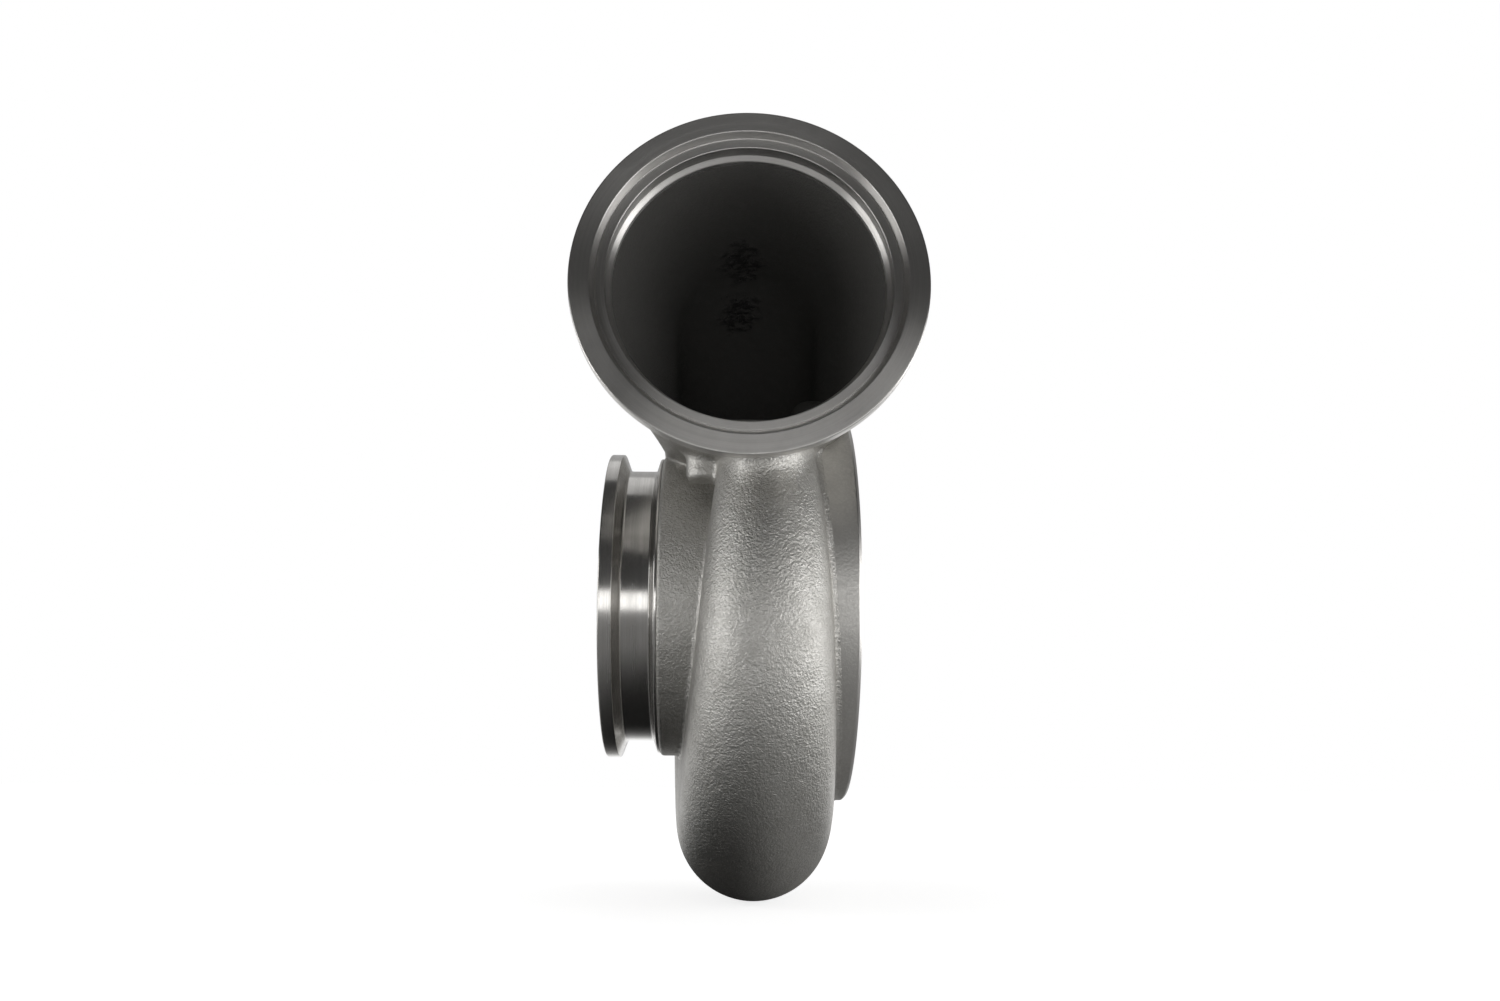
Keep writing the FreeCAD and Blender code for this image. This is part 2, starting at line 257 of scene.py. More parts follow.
def make_piece(
    name: str,
    vertices: Array,
    quads: Array,
    normals: Array | None = None,
    caps: list[Array] | None = None,
    sharp_deg: float | None = None,
) -> Piece:
    """Mesh object at the origin, from arrays in millimetres.

    Args:
        name: Name of the piece.
        vertices: Vertices as rows.
        quads: Vertex numbers of the quads.
        normals: Vertex normals, where they are known.
        caps: Vertex numbers of larger flat faces.
        sharp_deg: Angle from which an edge stays sharp.

    Returns:
        The object, smooth shaded.
    """
    mesh = bpy.data.meshes.new(name)
    caps = caps or []
    corners = np.concatenate([quads.reshape(-1), *caps]).astype(np.int32)
    sizes = np.concatenate([np.full(len(quads), 4), [len(c) for c in caps]]).astype(np.int32)
    mesh.vertices.add(len(vertices))
    mesh.vertices.foreach_set("co", (vertices * MM).astype(np.float32).reshape(-1))
    mesh.loops.add(len(corners))
    mesh.loops.foreach_set("vertex_index", corners)
    mesh.polygons.add(len(sizes))
    mesh.polygons.foreach_set("loop_start", np.concatenate([[0], np.cumsum(sizes)[:-1]]).astype(np.int32))
    mesh.update(calc_edges=True)
    mesh.validate()
    mesh.shade_smooth()
    if sharp_deg is not None:
        mesh.set_sharp_from_angle(angle=math.radians(sharp_deg))
    if normals is not None:
        mesh.normals_split_custom_set_from_vertices(normals.astype(np.float32))
    piece = bpy.data.objects.new(name, mesh)
    bpy.context.scene.collection.objects.link(piece)
    return piece


# Node trees

class Graph:
    """Adds nodes to one node tree and links them."""

    def __init__(self, tree: Tree) -> None:
        """Keeps the tree and empties it."""
        self.tree = tree
        tree.nodes.clear()

    def add(self, kind: str, inputs: dict | None = None, **settings: object) -> bpy.types.Node:
        """Adds a node.

        Args:
            kind: Blender's name of the node type.
            inputs: Values or sockets for its inputs, by name or number.
            **settings: Attributes of the node.

        Returns:
            The node.
        """
        node = self.tree.nodes.new(kind)
        for key, value in settings.items():
            setattr(node, key, value)
        for key, value in (inputs or {}).items():
            if isinstance(value, Socket):
                self.tree.links.new(value, node.inputs[key])
            else:
                node.inputs[key].default_value = value
        return node

    def math(self, operation: str, *values: object, clamp: bool = False) -> Socket:
        """Result of a Math node."""
        node = self.add("ShaderNodeMath", dict(enumerate(values)), operation=operation, use_clamp=clamp)
        return node.outputs[0]

    def vector(self, operation: str, *values: object, out: int = 0) -> Socket:
        """Result of a Vector Math node."""
        node = self.add("ShaderNodeVectorMath", dict(enumerate(values)), operation=operation)
        return node.outputs[out]

    def weigh(self, first: Socket, weight: float, second: Socket, other: float) -> Socket:
        """Sum of two values, each times its weight."""
        return self.math("MULTIPLY_ADD", first, weight, self.math("MULTIPLY", second, other))

    def ramp(self, value: Socket, low: float, high: float, to_low: float = 0, to_high: float = 1) -> Socket:
        """Smooth step of a value from one pair of numbers to another."""
        inputs = {"Value": value, "From Min": low, "From Max": high, "To Min": to_low, "To Max": to_high}
        return self.add("ShaderNodeMapRange", inputs, interpolation_type="SMOOTHSTEP").outputs[0]

    def mix(self, share: object, first: object, second: object) -> Socket:
        """Mixed colour of two colours."""
        return self.add("ShaderNodeMix", {0: share, 6: first, 7: second}, data_type="RGBA").outputs[2]

    def split(self, value: Socket) -> list[Socket]:
        """The three parts of a vector."""
        return list(self.add("ShaderNodeSeparateXYZ", {0: value}).outputs)

    def noise(self, place: Socket, scale: object, detail: float = 2.0, roughness: float = 0.5,
              fourth: Socket | None = None) -> Socket:
        """Value of a Noise texture, in four dimensions where a fourth coordinate is given."""
        inputs = {"Vector": place, "Scale": scale, "Detail": detail, "Roughness": roughness}
        if fourth is None:
            return self.add("ShaderNodeTexNoise", inputs).outputs[0]
        return self.add("ShaderNodeTexNoise", {**inputs, "W": fourth}, noise_dimensions="4D").outputs[0]

    def use(self, tree: Tree, place: Socket, **values: float) -> object:
        """Outputs of a shader group at a place."""
        return self.add("ShaderNodeGroup", {"Place": place, **values}, node_tree=tree).outputs


def group(inputs: dict[str, float], outputs: tuple[str, ...]) -> Callable:
    """Decorator that makes a shader node group of a function that fills one.

    The function gets the graph, the group's inputs by name and a dict for what comes out. The group has
    its name, a place and numbers as inputs, and numbers as outputs.

    Args:
        inputs: Default of each number that goes in, besides the place.
        outputs: Name of each number that comes out.

    Returns:
        The decorator. What it returns makes the group, once, and finds it again after that.
    """

    def decorate(fill: Callable[[Graph, dict, dict], None]) -> Callable[[], Tree]:
        """Wraps the function that fills the group."""

        def make() -> Tree:
            """Makes or finds the group."""
            name = fill.__name__
            if name in bpy.data.node_groups:
                return bpy.data.node_groups[name]
            tree = bpy.data.node_groups.new(name, "ShaderNodeTree")
            graph, face, kind = Graph(tree), tree.interface, "NodeSocketFloat"
            face.new_socket("Place", in_out="INPUT", socket_type="NodeSocketVector")
            for key, value in inputs.items():
                face.new_socket(key, in_out="INPUT", socket_type=kind).default_value = value
            for key in outputs:
                face.new_socket(key, in_out="OUTPUT", socket_type=kind)
            source, target, made = graph.add("NodeGroupInput"), graph.add("NodeGroupOutput"), {}
            fill(graph, dict(source.outputs.items()), made)
            for key, socket in made.items():
                tree.links.new(socket, target.inputs[key])
            return tree

        return make

    return decorate


@group({"Size": 1.0}, ("Height", "Tone"))
def cast_grain(graph: Graph, given: dict, made: dict) -> None:
    """Pebbled skin of a blasted casting: rounded pebbles, finer grit between them and faint waves."""
    drift, pebble_rate, grit_rate, wave_rate, soft = 0.35 * MM, 0.8, 1.5, 0.13, 0.8
    scale = graph.math("DIVIDE", 1 / MM, given["Size"])
    warp = graph.add("ShaderNodeTexNoise", {"Vector": given["Place"], "Scale": scale, "Detail": 1.0})
    place = graph.vector("ADD", given["Place"], graph.vector("MULTIPLY", warp.outputs[1], (drift,) * 3))
    inputs = {"Vector": place, "Scale": graph.math("MULTIPLY", scale, pebble_rate), "Smoothness": soft}
    cells = graph.add("ShaderNodeTexVoronoi", inputs, feature="SMOOTH_F1")
    pebble = graph.math("SUBTRACT", 1.0, cells.outputs[0])
    grit = graph.noise(place, graph.math("MULTIPLY", scale, grit_rate), 2.0, 0.55)
    wave = graph.noise(given["Place"], graph.math("MULTIPLY", scale, wave_rate))
    made["Height"] = graph.math("ADD", wave, graph.weigh(pebble, 0.55, grit, 0.75))
    made["Tone"] = graph.ramp(graph.weigh(grit, 0.6, pebble, 0.45), 0.35, 0.85)


@group({"Pitch": 0.3}, ("Height", "Tone"))
def turning_marks(graph: Graph, given: dict, made: dict) -> None:
    """Fine rings that a lathe tool leaves round the Z axis of the place.

    Noise over radius and length, which wanders slowly with the cosine and sine round the axis.
    """
    wander, wide_rate = 0.8, 0.16
    x, y, z = graph.split(given["Place"])
    square = graph.math("MULTIPLY_ADD", x, x, graph.math("MULTIPLY", y, y))
    radius = graph.math("SQRT", square)
    cosine = graph.math("MULTIPLY", graph.math("DIVIDE", x, radius), wander)
    sine = graph.math("MULTIPLY", graph.math("DIVIDE", y, radius), wander)
    rate = graph.math("DIVIDE", 1 / MM, given["Pitch"])
    across, along = graph.math("MULTIPLY", radius, rate), graph.math("MULTIPLY", z, rate)
    place = graph.add("ShaderNodeCombineXYZ", {0: across, 1: along, 2: cosine}).outputs[0]
    rings = graph.noise(place, 1.0, 3.0, 0.6, sine)
    wide = graph.noise(graph.vector("MULTIPLY", place, (wide_rate, wide_rate, 1.0)), 1.0, fourth=sine)
    made["Height"] = rings
    made["Tone"] = graph.ramp(graph.weigh(rings, 0.5, wide, 0.5), 0.3, 0.7)


@group({"Reach": 0.4}, ("Wear",))
def edge_wear_and_highlight(graph: Graph, given: dict, made: dict) -> None:
    """Mask along edges, lightened for handling wear that has polished the metal and as a painted edge
    highlight.

    How far the true normal strays from one rounded over the reach, broken up by noise.
    """
    reach = graph.math("MULTIPLY", given["Reach"], MM)
    rounded = graph.add("ShaderNodeBevel", {"Radius": reach}, samples=4)
    normal = graph.add("ShaderNodeNewGeometry").outputs["Normal"]
    agreement = graph.vector("DOT_PRODUCT", rounded.outputs[0], normal, out=1)
    edge = graph.ramp(agreement, 0.995, 0.85)
    patchy = graph.ramp(graph.noise(given["Place"], 220.0, 3.0), 0.25, 0.65, 0.35, 1.0)
    made["Wear"] = graph.math("MULTIPLY", edge, patchy, clamp=True)


@group({"Size": 30.0}, ("Mask",))
def soft_stain(graph: Graph, given: dict, made: dict) -> None:
    """Mask of wide, faint patches of oxide and handling: two sizes of noise, added up."""
    scale = graph.math("DIVIDE", 1 / MM, given["Size"])
    wide = graph.noise(given["Place"], scale, 3.0, 0.55)
    fine = graph.noise(given["Place"], graph.math("MULTIPLY", scale, 6.0), 4.0, 0.6)
    made["Mask"] = graph.ramp(graph.weigh(fine, 0.35, wide, 0.65), 0.36, 0.64)


# Middle and half lengths of each scar in millimetres, along Y, Z and X
SCARS = (((-10.0, 108.3, -31.0), (15.0, 8.0, 7.0)), ((22.0, 104.5, -31.5), (10.0, 9.0, 8.0)))


@group({}, ("Mask", "Height"))
def core_marks(graph: Graph, given: dict, made: dict) -> None:
    """Mask and height of two scars that the mould's core left on the wall of the passage.

    Distance from each scar's middle in half lengths, roughened by noise.
    """
    torn = graph.noise(given["Place"], 160.0, 3.0, 0.6)
    raggedness, outside, within = 1.6, 2.0, 1.45
    masks = []
    for middle, half in SCARS:
        away = graph.vector("SUBTRACT", given["Place"], tuple(MM * c for c in middle))
        away = graph.vector("MULTIPLY", away, tuple(1 / (MM * c) for c in half))
        length = graph.vector("LENGTH", away, out=1)
        masks.append(graph.ramp(graph.math("MULTIPLY_ADD", torn, raggedness, length), outside, within))
    wisps = graph.ramp(graph.noise(given["Place"], 330.0, 3.0, 0.65), 0.4, 0.58, 0.15, 1.0)
    made["Mask"] = graph.math("MULTIPLY", graph.math("MAXIMUM", *masks), wisps)
    made["Height"] = graph.math("MULTIPLY", made["Mask"], graph.noise(given["Place"], 420.0, 2.0, 0.6))


# Finishes

@dataclass(frozen=True)
class Finish:
    """Look of one metal surface.

    Attributes are the name, the lightest and darkest colour, the least and greatest roughness, the marks
    and their size, the height of the bump in millimetres, the axis that turned rings run round and a point
    on it, how far the shine is drawn out across the rings, how much lighter edges are painted for handling
    wear and a painted edge highlight, how much painted shade darkens the passage, on a piece that has the
    passage mask, and the marks' share of the colour next to the stains. The last six say how the painted
    shade, the passage's rougher, less metallic skin and the core's scars look.
    """

    name: str
    light: Triple
    dark: Triple
    smooth: float
    rough: float
    marks: Marks
    size: float
    bump: float
    axis: Axis = Axis.ALONG_X
    centre: Triple = (0.0, 0.0, 0.0)
    anisotropy: float = 0.0
    edge_light: float = 0.0
    painted_passage_shade: float = 0.0
    fine_share: float = 0.55
    passage_mask_gain: float = 2.0
    passage_roughness: float = 0.35
    passage_metallic: float = 0.3
    scar_colour: Triple = (0.02, 0.02, 0.02)
    scar_share: float = 0.7
    scar_height: float = 5.0

    def place(self, graph: Graph) -> Socket:
        """Object coordinates, turned and shifted so that the piece's axis is Z."""
        source = graph.add("ShaderNodeTexCoord").outputs["Object"]
        moved = graph.vector("SUBTRACT", source, tuple(MM * c for c in self.centre))
        parts = graph.split(moved)
        along, side, other = (parts[k] for k in self.axis.order())
        return graph.add("ShaderNodeCombineXYZ", {0: side, 1: other, 2: along}).outputs[0]

    def relief(self, graph: Graph, place: Socket) -> tuple:
        """Height and tone of the marks."""
        if self.marks is Marks.TURNED:
            made = graph.use(turning_marks(), place, Pitch=self.size)
        else:
            made = graph.use(cast_grain(), place, Size=self.size)
        return made["Height"], made["Tone"]

    def with_painted_shade(
        self, graph: Graph, place: Socket, colour: Socket, roughness: Socket, height: Socket
    ) -> list[Socket]:
        """Colour, roughness, height and metallic, changed by the piece's passage mask: a painted shade
        darkens the wall, which also gets rougher, less metallic and marked by the core's scars.
        """
        depth = graph.add("ShaderNodeAttribute", attribute_name="passage").outputs["Fac"]
        depth = graph.math("MULTIPLY", depth, self.passage_mask_gain, clamp=True)
        # Painted shade: the passage wall's colour is pulled towards a darkened dark tone, standing in for
        # the shade deep in the hollow.
        colour = graph.mix(depth, colour, (*(c * (1 - self.painted_passage_shade) for c in self.dark), 1))
        scars = graph.use(core_marks(), place)
        torn = graph.math("MULTIPLY", scars["Mask"], depth)
        colour = graph.mix(graph.math("MULTIPLY", torn, self.scar_share), colour, (*self.scar_colour, 1))
        lump = graph.math("MULTIPLY", scars["Height"], depth)
        height = graph.math("MULTIPLY_ADD", lump, self.scar_height, height)
        roughness = graph.math("MULTIPLY_ADD", depth, self.passage_roughness, roughness)
        return [colour, roughness, height, graph.ramp(depth, 0.0, 1.0, 1.0, self.passage_metallic)]

    def material(self) -> bpy.types.Material:
        """Material of the finish, made once and found again after that."""
        if self.name in bpy.data.materials:
            return bpy.data.materials[self.name]
        material = bpy.data.materials.new(self.name)
        material.use_nodes = True
        graph = Graph(material.node_tree)
        place = self.place(graph)
        height, tone = self.relief(graph, place)
        stain = graph.use(soft_stain(), place)["Mask"]
        share = graph.weigh(tone, self.fine_share, stain, 1 - self.fine_share)
        colour = graph.mix(share, (*self.dark, 1), (*self.light, 1))
        roughness = graph.ramp(share, 0.0, 1.0, self.rough, self.smooth)
        # Edges painted lighter: partly handling wear, partly a painted edge highlight.
        if self.edge_light:
            wear_and_highlight = graph.use(edge_wear_and_highlight(), place)["Wear"]
            bright = tuple(min(1.0, c + self.edge_light) for c in self.light)
            colour = graph.mix(wear_and_highlight, colour, (*bright, 1))
        metallic = 1.0
        # Painted shade inside the passage, with a rougher, less metallic skin there.
        if self.painted_passage_shade:
            colour, roughness, height, metallic = self.with_painted_shade(graph, place, colour, roughness, height)
        bump = graph.add("ShaderNodeBump", {"Height": height, "Strength": 1.0, "Distance": self.bump * MM})
        quarter_turn = 0.25
        inputs = {
            "Base Color": colour, "Roughness": roughness, "Normal": bump.outputs[0], "Metallic": metallic,
            "Anisotropic": self.anisotropy, "Anisotropic Rotation": quarter_turn,
        }
        if self.anisotropy:
            ring = graph.add("ShaderNodeTangent", direction_type="RADIAL", axis=self.axis.value)
            inputs["Tangent"] = ring.outputs[0]
        shader = graph.add("ShaderNodeBsdfPrincipled", inputs)
        graph.add("ShaderNodeOutputMaterial", {"Surface": shader.outputs[0]})
        material.diffuse_color = (*self.light, 1)
        return material


INLET_CENTRE = (-30.4, -81.2, 72.2)
# The cast skin's passage wall gets a strong painted shade.
CAST = Finish(
    "cast_skin", (0.6, 0.59, 0.565), (0.42, 0.41, 0.385), 0.38, 0.5, Marks.CAST, 0.6, 0.27, painted_passage_shade=0.72,
)
INLET_TURNED = Finish(
    "inlet_turned", (0.68, 0.665, 0.645), (0.5, 0.49, 0.47), 0.31, 0.42, Marks.TURNED, 0.28, 0.01,
    axis=Axis.ALONG_Y, centre=INLET_CENTRE, edge_light=0.15, anisotropy=0.85,
)
OUTLET_TURNED = Finish(
    "outlet_turned", (0.62, 0.605, 0.585), (0.45, 0.44, 0.42), 0.18, 0.28, Marks.TURNED, 0.28, 0.006,
    edge_light=0.15, anisotropy=0.85,
)
RING_TURNED = Finish(
    "ring_turned", (0.62, 0.61, 0.59), (0.48, 0.47, 0.45), 0.26, 0.4, Marks.TURNED, 0.35, 0.014,
    edge_light=0.15,
)
RING_BLASTED = Finish(
    "ring_blasted", (0.56, 0.55, 0.525), (0.46, 0.45, 0.43), 0.42, 0.52, Marks.BLASTED, 0.7, 0.06,
)
SHROUD_TURNED = Finish(
    "shroud_turned", (0.6, 0.585, 0.56), (0.46, 0.45, 0.43), 0.24, 0.38, Marks.TURNED, 0.4, 0.014,
    edge_light=0.12,
)
INSERT_DRAWN = Finish(
    "insert_drawn", (0.72, 0.7, 0.66), (0.55, 0.53, 0.49), 0.2, 0.32, Marks.BLASTED, 0.35, 0.008,
)
DOWEL_GROUND = Finish(
    "dowel_ground", (0.74, 0.74, 0.73), (0.6, 0.6, 0.59), 0.12, 0.2, Marks.BLASTED, 0.3, 0.004,
)


# Pieces

class Part:
    """Piece of the housing, with its finish, its material slot and the CAD node that it stands for."""

    finish: Finish
    slot: str
    node: str = ""

    def dress(self, piece: Piece) -> None:
        """Gives the piece its finish and body, and lets it stand for its CAD node."""
        if not piece.data.materials:
            piece.data.materials.append(self.finish.material())
        if self.node:
            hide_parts(self.node)
        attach(piece, BODY)
        LOG.info("%s: %d faces, %s", piece.name, len(piece.data.polygons), self.finish.name)


@dataclass
class CastScroll(Part):
    """Cast skin: inlet runner, scroll, outlet boss and sensor boss, hollow and blended into one another.

    Angles run from +Z over +Y. At a share u of its turn the scroll's section has its crown at
    crown_start - crown_drop u, a half width that falls from width_start to width_end with a bow of
    width_bow u (1 - u), and its middle at centre_start + centre_shift u. Each of the planes is the start
    of a band of grid planes along X and their distance.
    """

    finish, slot, node = CAST, "cast_stainless", "scroll_casting"
    end_deg: float = 330.0
    crown_start: float = 113.1
    crown_drop: float = 46.9
    width_start: float = 26.8
    width_end: float = 10.8
    width_bow: float = 18.4
    centre_start: float = -29.5
    centre_shift: float = 5.3
    squareness: float = 0.34
    root: float = 39.0
    wall: float = 4.5
    floor: float = 47.5
    neck_radius: float = 41.0
    bore_radius: float = 35.7
    neck_centre: Pair = (-30.4, 72.2)
    neck_end: float = -74.0
    neck_low: float = 24.0
    boss_radius: float = 45.5
    boss_sunk: float = 0.3
    boss_crossing: float = -50.5
    boss_face: float = -54.0
    boss_edge: float = 1.2
    lug: Pair = (-42.2, -44.5)
    lug_radius: float = 4.6
    lug_span: Pair = (28.4, 42.0)
    lug_edge: float = 1.6
    ring_radius: float = 58.33
    ring_cut: float = 58.25
    ring_start: float = -22.0
    seat_radius: float = 55.5
    relief_radius: float = 64.0
    relief_slope: float = 60.5
    tongue_tip: float = -34.0
    tongue_middle: float = 35.4
    tongue_half: float = 2.0
    web_radius: float = 63.0
    web_start: float = -16.5
    web_rounding: float = 6.0
    nozzle_start: float = -25.0
    neck_fillet: float = 11.0
    side_share: float = 0.7
    boss_fillet: float = 1.8
    lug_fillet: float = 3.0
    boss_root: float = -27.0
    ring_reach: Pair = (1.2, 2.2)
    ring_gap: float = 0.9
    ring_end: float = 1.2
    ring_bend: float = 0.35
    seat_start: float = -11.5
    ring_cut_start: float = -0.6
    relief_rise: float = 0.45
    hub_radius: float = 38.0
    hub_end: float = -20.0
    shroud_seat: Pair = (-27.5, 43.5)
    wheel_radius: float = 42.2
    passage_fillet: float = 4.0
    spacing: float = 1.34
    planes: tuple = ((-76.0, 1.34), (-56.0, 0.7), (-52.5, 1.34), (-13.0, 0.85), (0.6, 1.34), (14.0, 0.0))
    y_span: Pair = (-77.5, 103.0)
    z_span: Pair = (-90.3, 116.5)

    def scroll_size(self, angle: Array, wall: float) -> tuple[dict[str, Array], Array, Array]:
        """Sizes of the scroll's section at an angle, its middle along X and its waist's radius."""
        share = np.minimum(angle, self.end_deg) / self.end_deg
        width = self.width_start + (self.width_end - self.width_start) * share
        width = width + self.width_bow * share * (1 - share)
        waist = self.crown_start - self.crown_drop * share - width
        root = self.floor if wall else self.root
        width, power = width - wall, 2 / self.squareness
        size = {"half_width": width, "rise": width, "drop": waist - root, "power": power}
        return size, self.centre_start + self.centre_shift * share, waist

    def runner_size(self, y: Array, wall: float) -> tuple[dict[str, Array], Array, Array]:
        """Sizes of the runner's section at a depth, blended from the round neck into the scroll."""
        share = np.clip(1 - y / self.neck_end, 0, 1)
        blend = share * share * (3 - 2 * share)
        radius = self.bore_radius if wall else self.neck_radius
        end, end_centre, end_waist = self.scroll_size(np.zeros(1), wall)
        power = 2 / (1 + (self.squareness - 1) * blend)
        size = {key: radius + (end[key] - radius) * blend for key in ("half_width", "rise", "drop")}
        centre = self.neck_centre[0] + (end_centre - self.neck_centre[0]) * blend
        waist = self.neck_centre[1] + (end_waist - self.neck_centre[1]) * blend
        return {**size, "power": power}, centre, waist

    def pipe(self, x: Array, y: Array, z: Array, wall: float, fillet: float) -> Array:
        """Field of the runner joined to the scroll: the skin, or with a wall the passage in it."""
        radius = np.hypot(y, z)
        angle = np.degrees(np.arctan2(y, z)) % 360
        size, centre, waist = self.scroll_size(angle, wall)
        beyond = np.radians(np.maximum(angle - self.end_deg, 0)) * radius
        scroll = section_field(x - centre, radius - waist, size) + beyond
        lateral = (x - centre) / size["half_width"]
        size, centre, waist = self.runner_size(y, wall)
        runner = section_field(x - centre, z - waist, size)
        crown, span = 0.45, 0.5
        side = np.clip(np.abs(lateral) - crown, 0, span) / span
        fillet = fillet * (1 - self.side_share * side * side * (3 - 2 * side))
        return np.where((y < 0) & (z > 0), soft_union(scroll, runner, fillet), scroll)

    def ring_skin(self, x: Array, radius: Array, angle: Array) -> tuple[Array, Array]:
        """Field of the skin over the ring, which thins out past the fillet, and the fillet's reach."""
        size, centre, _ = self.scroll_size(angle, 0.0)
        flank = centre + size["half_width"]
        reach = np.clip(-flank - self.ring_gap, *self.ring_reach)
        past = np.maximum(x - flank - 0.75 * reach, 0)
        skin = radius - self.ring_radius + self.ring_bend * past * past
        return np.maximum.reduce([skin, past - self.ring_end, self.ring_start - x]), reach

    def passage(self, x: Array, y: Array, z: Array) -> Array:
        """Field of the hollow: runner and scroll, less the tongue and the web round the ring."""
        radius = np.hypot(y, z)
        hollow = self.pipe(x, y, z, self.wall, self.passage_fillet)
        tongue = np.hypot(np.maximum(y - self.tongue_tip, 0), z - self.tongue_middle) - self.tongue_half
        web = rounded_corner(radius - self.web_radius, self.web_start - x, self.web_rounding)
        hollow = np.maximum(hollow, -np.minimum(tongue, web))
        middle, half = (self.nozzle_start + self.web_start) / 2, (self.web_start - self.nozzle_start) / 2
        overlap, fillet = 1.0, 1.0
        nozzle = np.maximum(np.abs(x - middle) - half, radius - self.floor - overlap)
        return soft_union(hollow, nozzle, fillet)

    def metal(self, x: Array, y: Array, z: Array) -> Array:
        """Field of the casting, below 0 in its metal."""
        radius = np.hypot(y, z)
        past_neck = np.minimum(self.neck_end - y, z - self.neck_low)
        body = np.maximum(self.pipe(x, y, z, 0.0, self.neck_fillet), past_neck)
        run, lead, wheel_gap = 2.0, 0.1, 0.5
        sunk = self.boss_sunk * np.clip((self.boss_crossing - x) / run + lead, 0, 1)
        edge = rounded_corner(radius - self.boss_radius + sunk, self.boss_face - x, self.boss_edge)
        boss = np.maximum(edge, x - self.boss_root)
        body = soft_union(body, boss, self.boss_fillet)
        stem = np.hypot(x - self.lug[0], y - self.lug[1]) - self.lug_radius
        stem = np.maximum(rounded_corner(stem, self.lug_span[0] - z, self.lug_edge), z - self.lug_span[1])
        body = soft_union(body, stem, self.lug_fillet)
        ring, reach = self.ring_skin(x, radius, np.degrees(np.arctan2(y, z)) % 360)
        body = soft_union(body, ring, reach)
        slope = self.relief_rise * np.maximum(radius - self.relief_slope, 0)
        cuts = [
            self.passage(x, y, z),
            np.maximum(radius - self.seat_radius, self.seat_start - x),
            np.maximum(radius - self.ring_cut, self.ring_cut_start - x),
            np.maximum(radius - self.relief_radius, slope - x),
            np.maximum(radius - self.hub_radius, x - self.hub_end),
            np.maximum(radius - self.shroud_seat[1], self.shroud_seat[0] - x),
            np.maximum(radius - self.wheel_radius, self.web_start - wheel_gap - x),
        ]
        return np.maximum(body, -np.minimum.reduce(cuts))

    def build(self) -> Piece:
        """Meshes the field on a grid that is finer at the boss's edge and at the ring."""
        bands = zip(self.planes[:-1], self.planes[1:])
        x_planes = np.concatenate([np.arange(start, end, step) for (start, step), (end, _) in bands])
        grid = (x_planes, np.arange(*self.y_span, self.spacing), np.arange(*self.z_span, self.spacing))
        vertices, quads, normals = surface_net(self.metal, grid)
        piece = make_piece("scroll_skin", vertices, quads, normals)
        self.mask_passage(piece, vertices)
        return piece

    def mask_passage(self, piece: Piece, vertices: Array) -> None:
        """Adds the passage mask: 1 on the hollow's wall, 0 on the outer skin and past the neck's end."""
        outside = self.pipe(*vertices.T, 0.0, self.neck_fillet)
        halfway, skin, past = 0.5, 1.5, 1.0
        depth = np.clip(halfway - self.passage(*vertices.T), 0, 1) * (vertices[:, 1] > self.neck_end - past)
        outer = np.clip(self.wall - skin - np.abs(outside), 0, 1)
        # This mask drives the painted shade of the passage, its rougher skin and the core's scars.
        mask = piece.data.attributes.new("passage", "FLOAT", "POINT")
        mask.data.foreach_set("value", (depth * (1 - outer)).astype(np.float32))


@dataclass
class Turned(Part):
    """Ring turned about an axis from a closed, rounded outline."""

    name: str
    origin: Triple
    axis: Axis
    corners: list[Triple]
    finish: Finish
    slot: str
    node: str
    count: int = 288

    def build(self) -> Piece:
        """Carries the outline and its normals round the axis."""
        outline, slopes = rounded_outline(self.corners)
        turn = np.linspace(0, 2 * np.pi, self.count, endpoint=False)
        directions = np.eye(3)[self.axis.order()]
        vertices = np.array(self.origin) + revolve(outline, turn, directions)
        quads = turned_grid(len(outline), self.count)
        return make_piece(self.name, vertices, quads, revolve(slopes, turn, directions))


@dataclass
class VBand:
    """Outline of a V-band end, shared by both ports, from its face inwards.

    A corner is its place along the axis, its radius and the cut that rounds it. The register's wall is
    slightly conical and ends in a fine groove.
    """

    radius: float = 46.0
    rim: float = 3.8
    taper_deg: float = 20.0
    neck: float = 41.0
    port: float = 36.9
    land: float = 3.6
    register: float = 40.4
    register_depth: float = 1.8

    def outside(self) -> list[Triple]:
        """Corners from the face's outer edge over the rim to the neck."""
        back = self.rim + (self.radius - self.neck) * math.tan(math.radians(self.taper_deg))
        return [(0.0, self.radius, 0.5), (self.rim, self.radius, 0.25), (back, self.neck, 0.7)]

    def inside(self) -> list[Triple]:
        """Corners from the bore land out to the register and back to the face."""
        floor = self.register_depth
        return [
            (floor + self.land, self.port, 0.2),
            (floor, self.port, 0.3),
            (floor, self.register - 1.15, 0.1),
            (floor + 0.3, self.register - 0.95, 0.08),
            (floor + 0.2, self.register - 0.7, 0.08),
            (0.0, self.register + 0.25, 0.25),
        ]


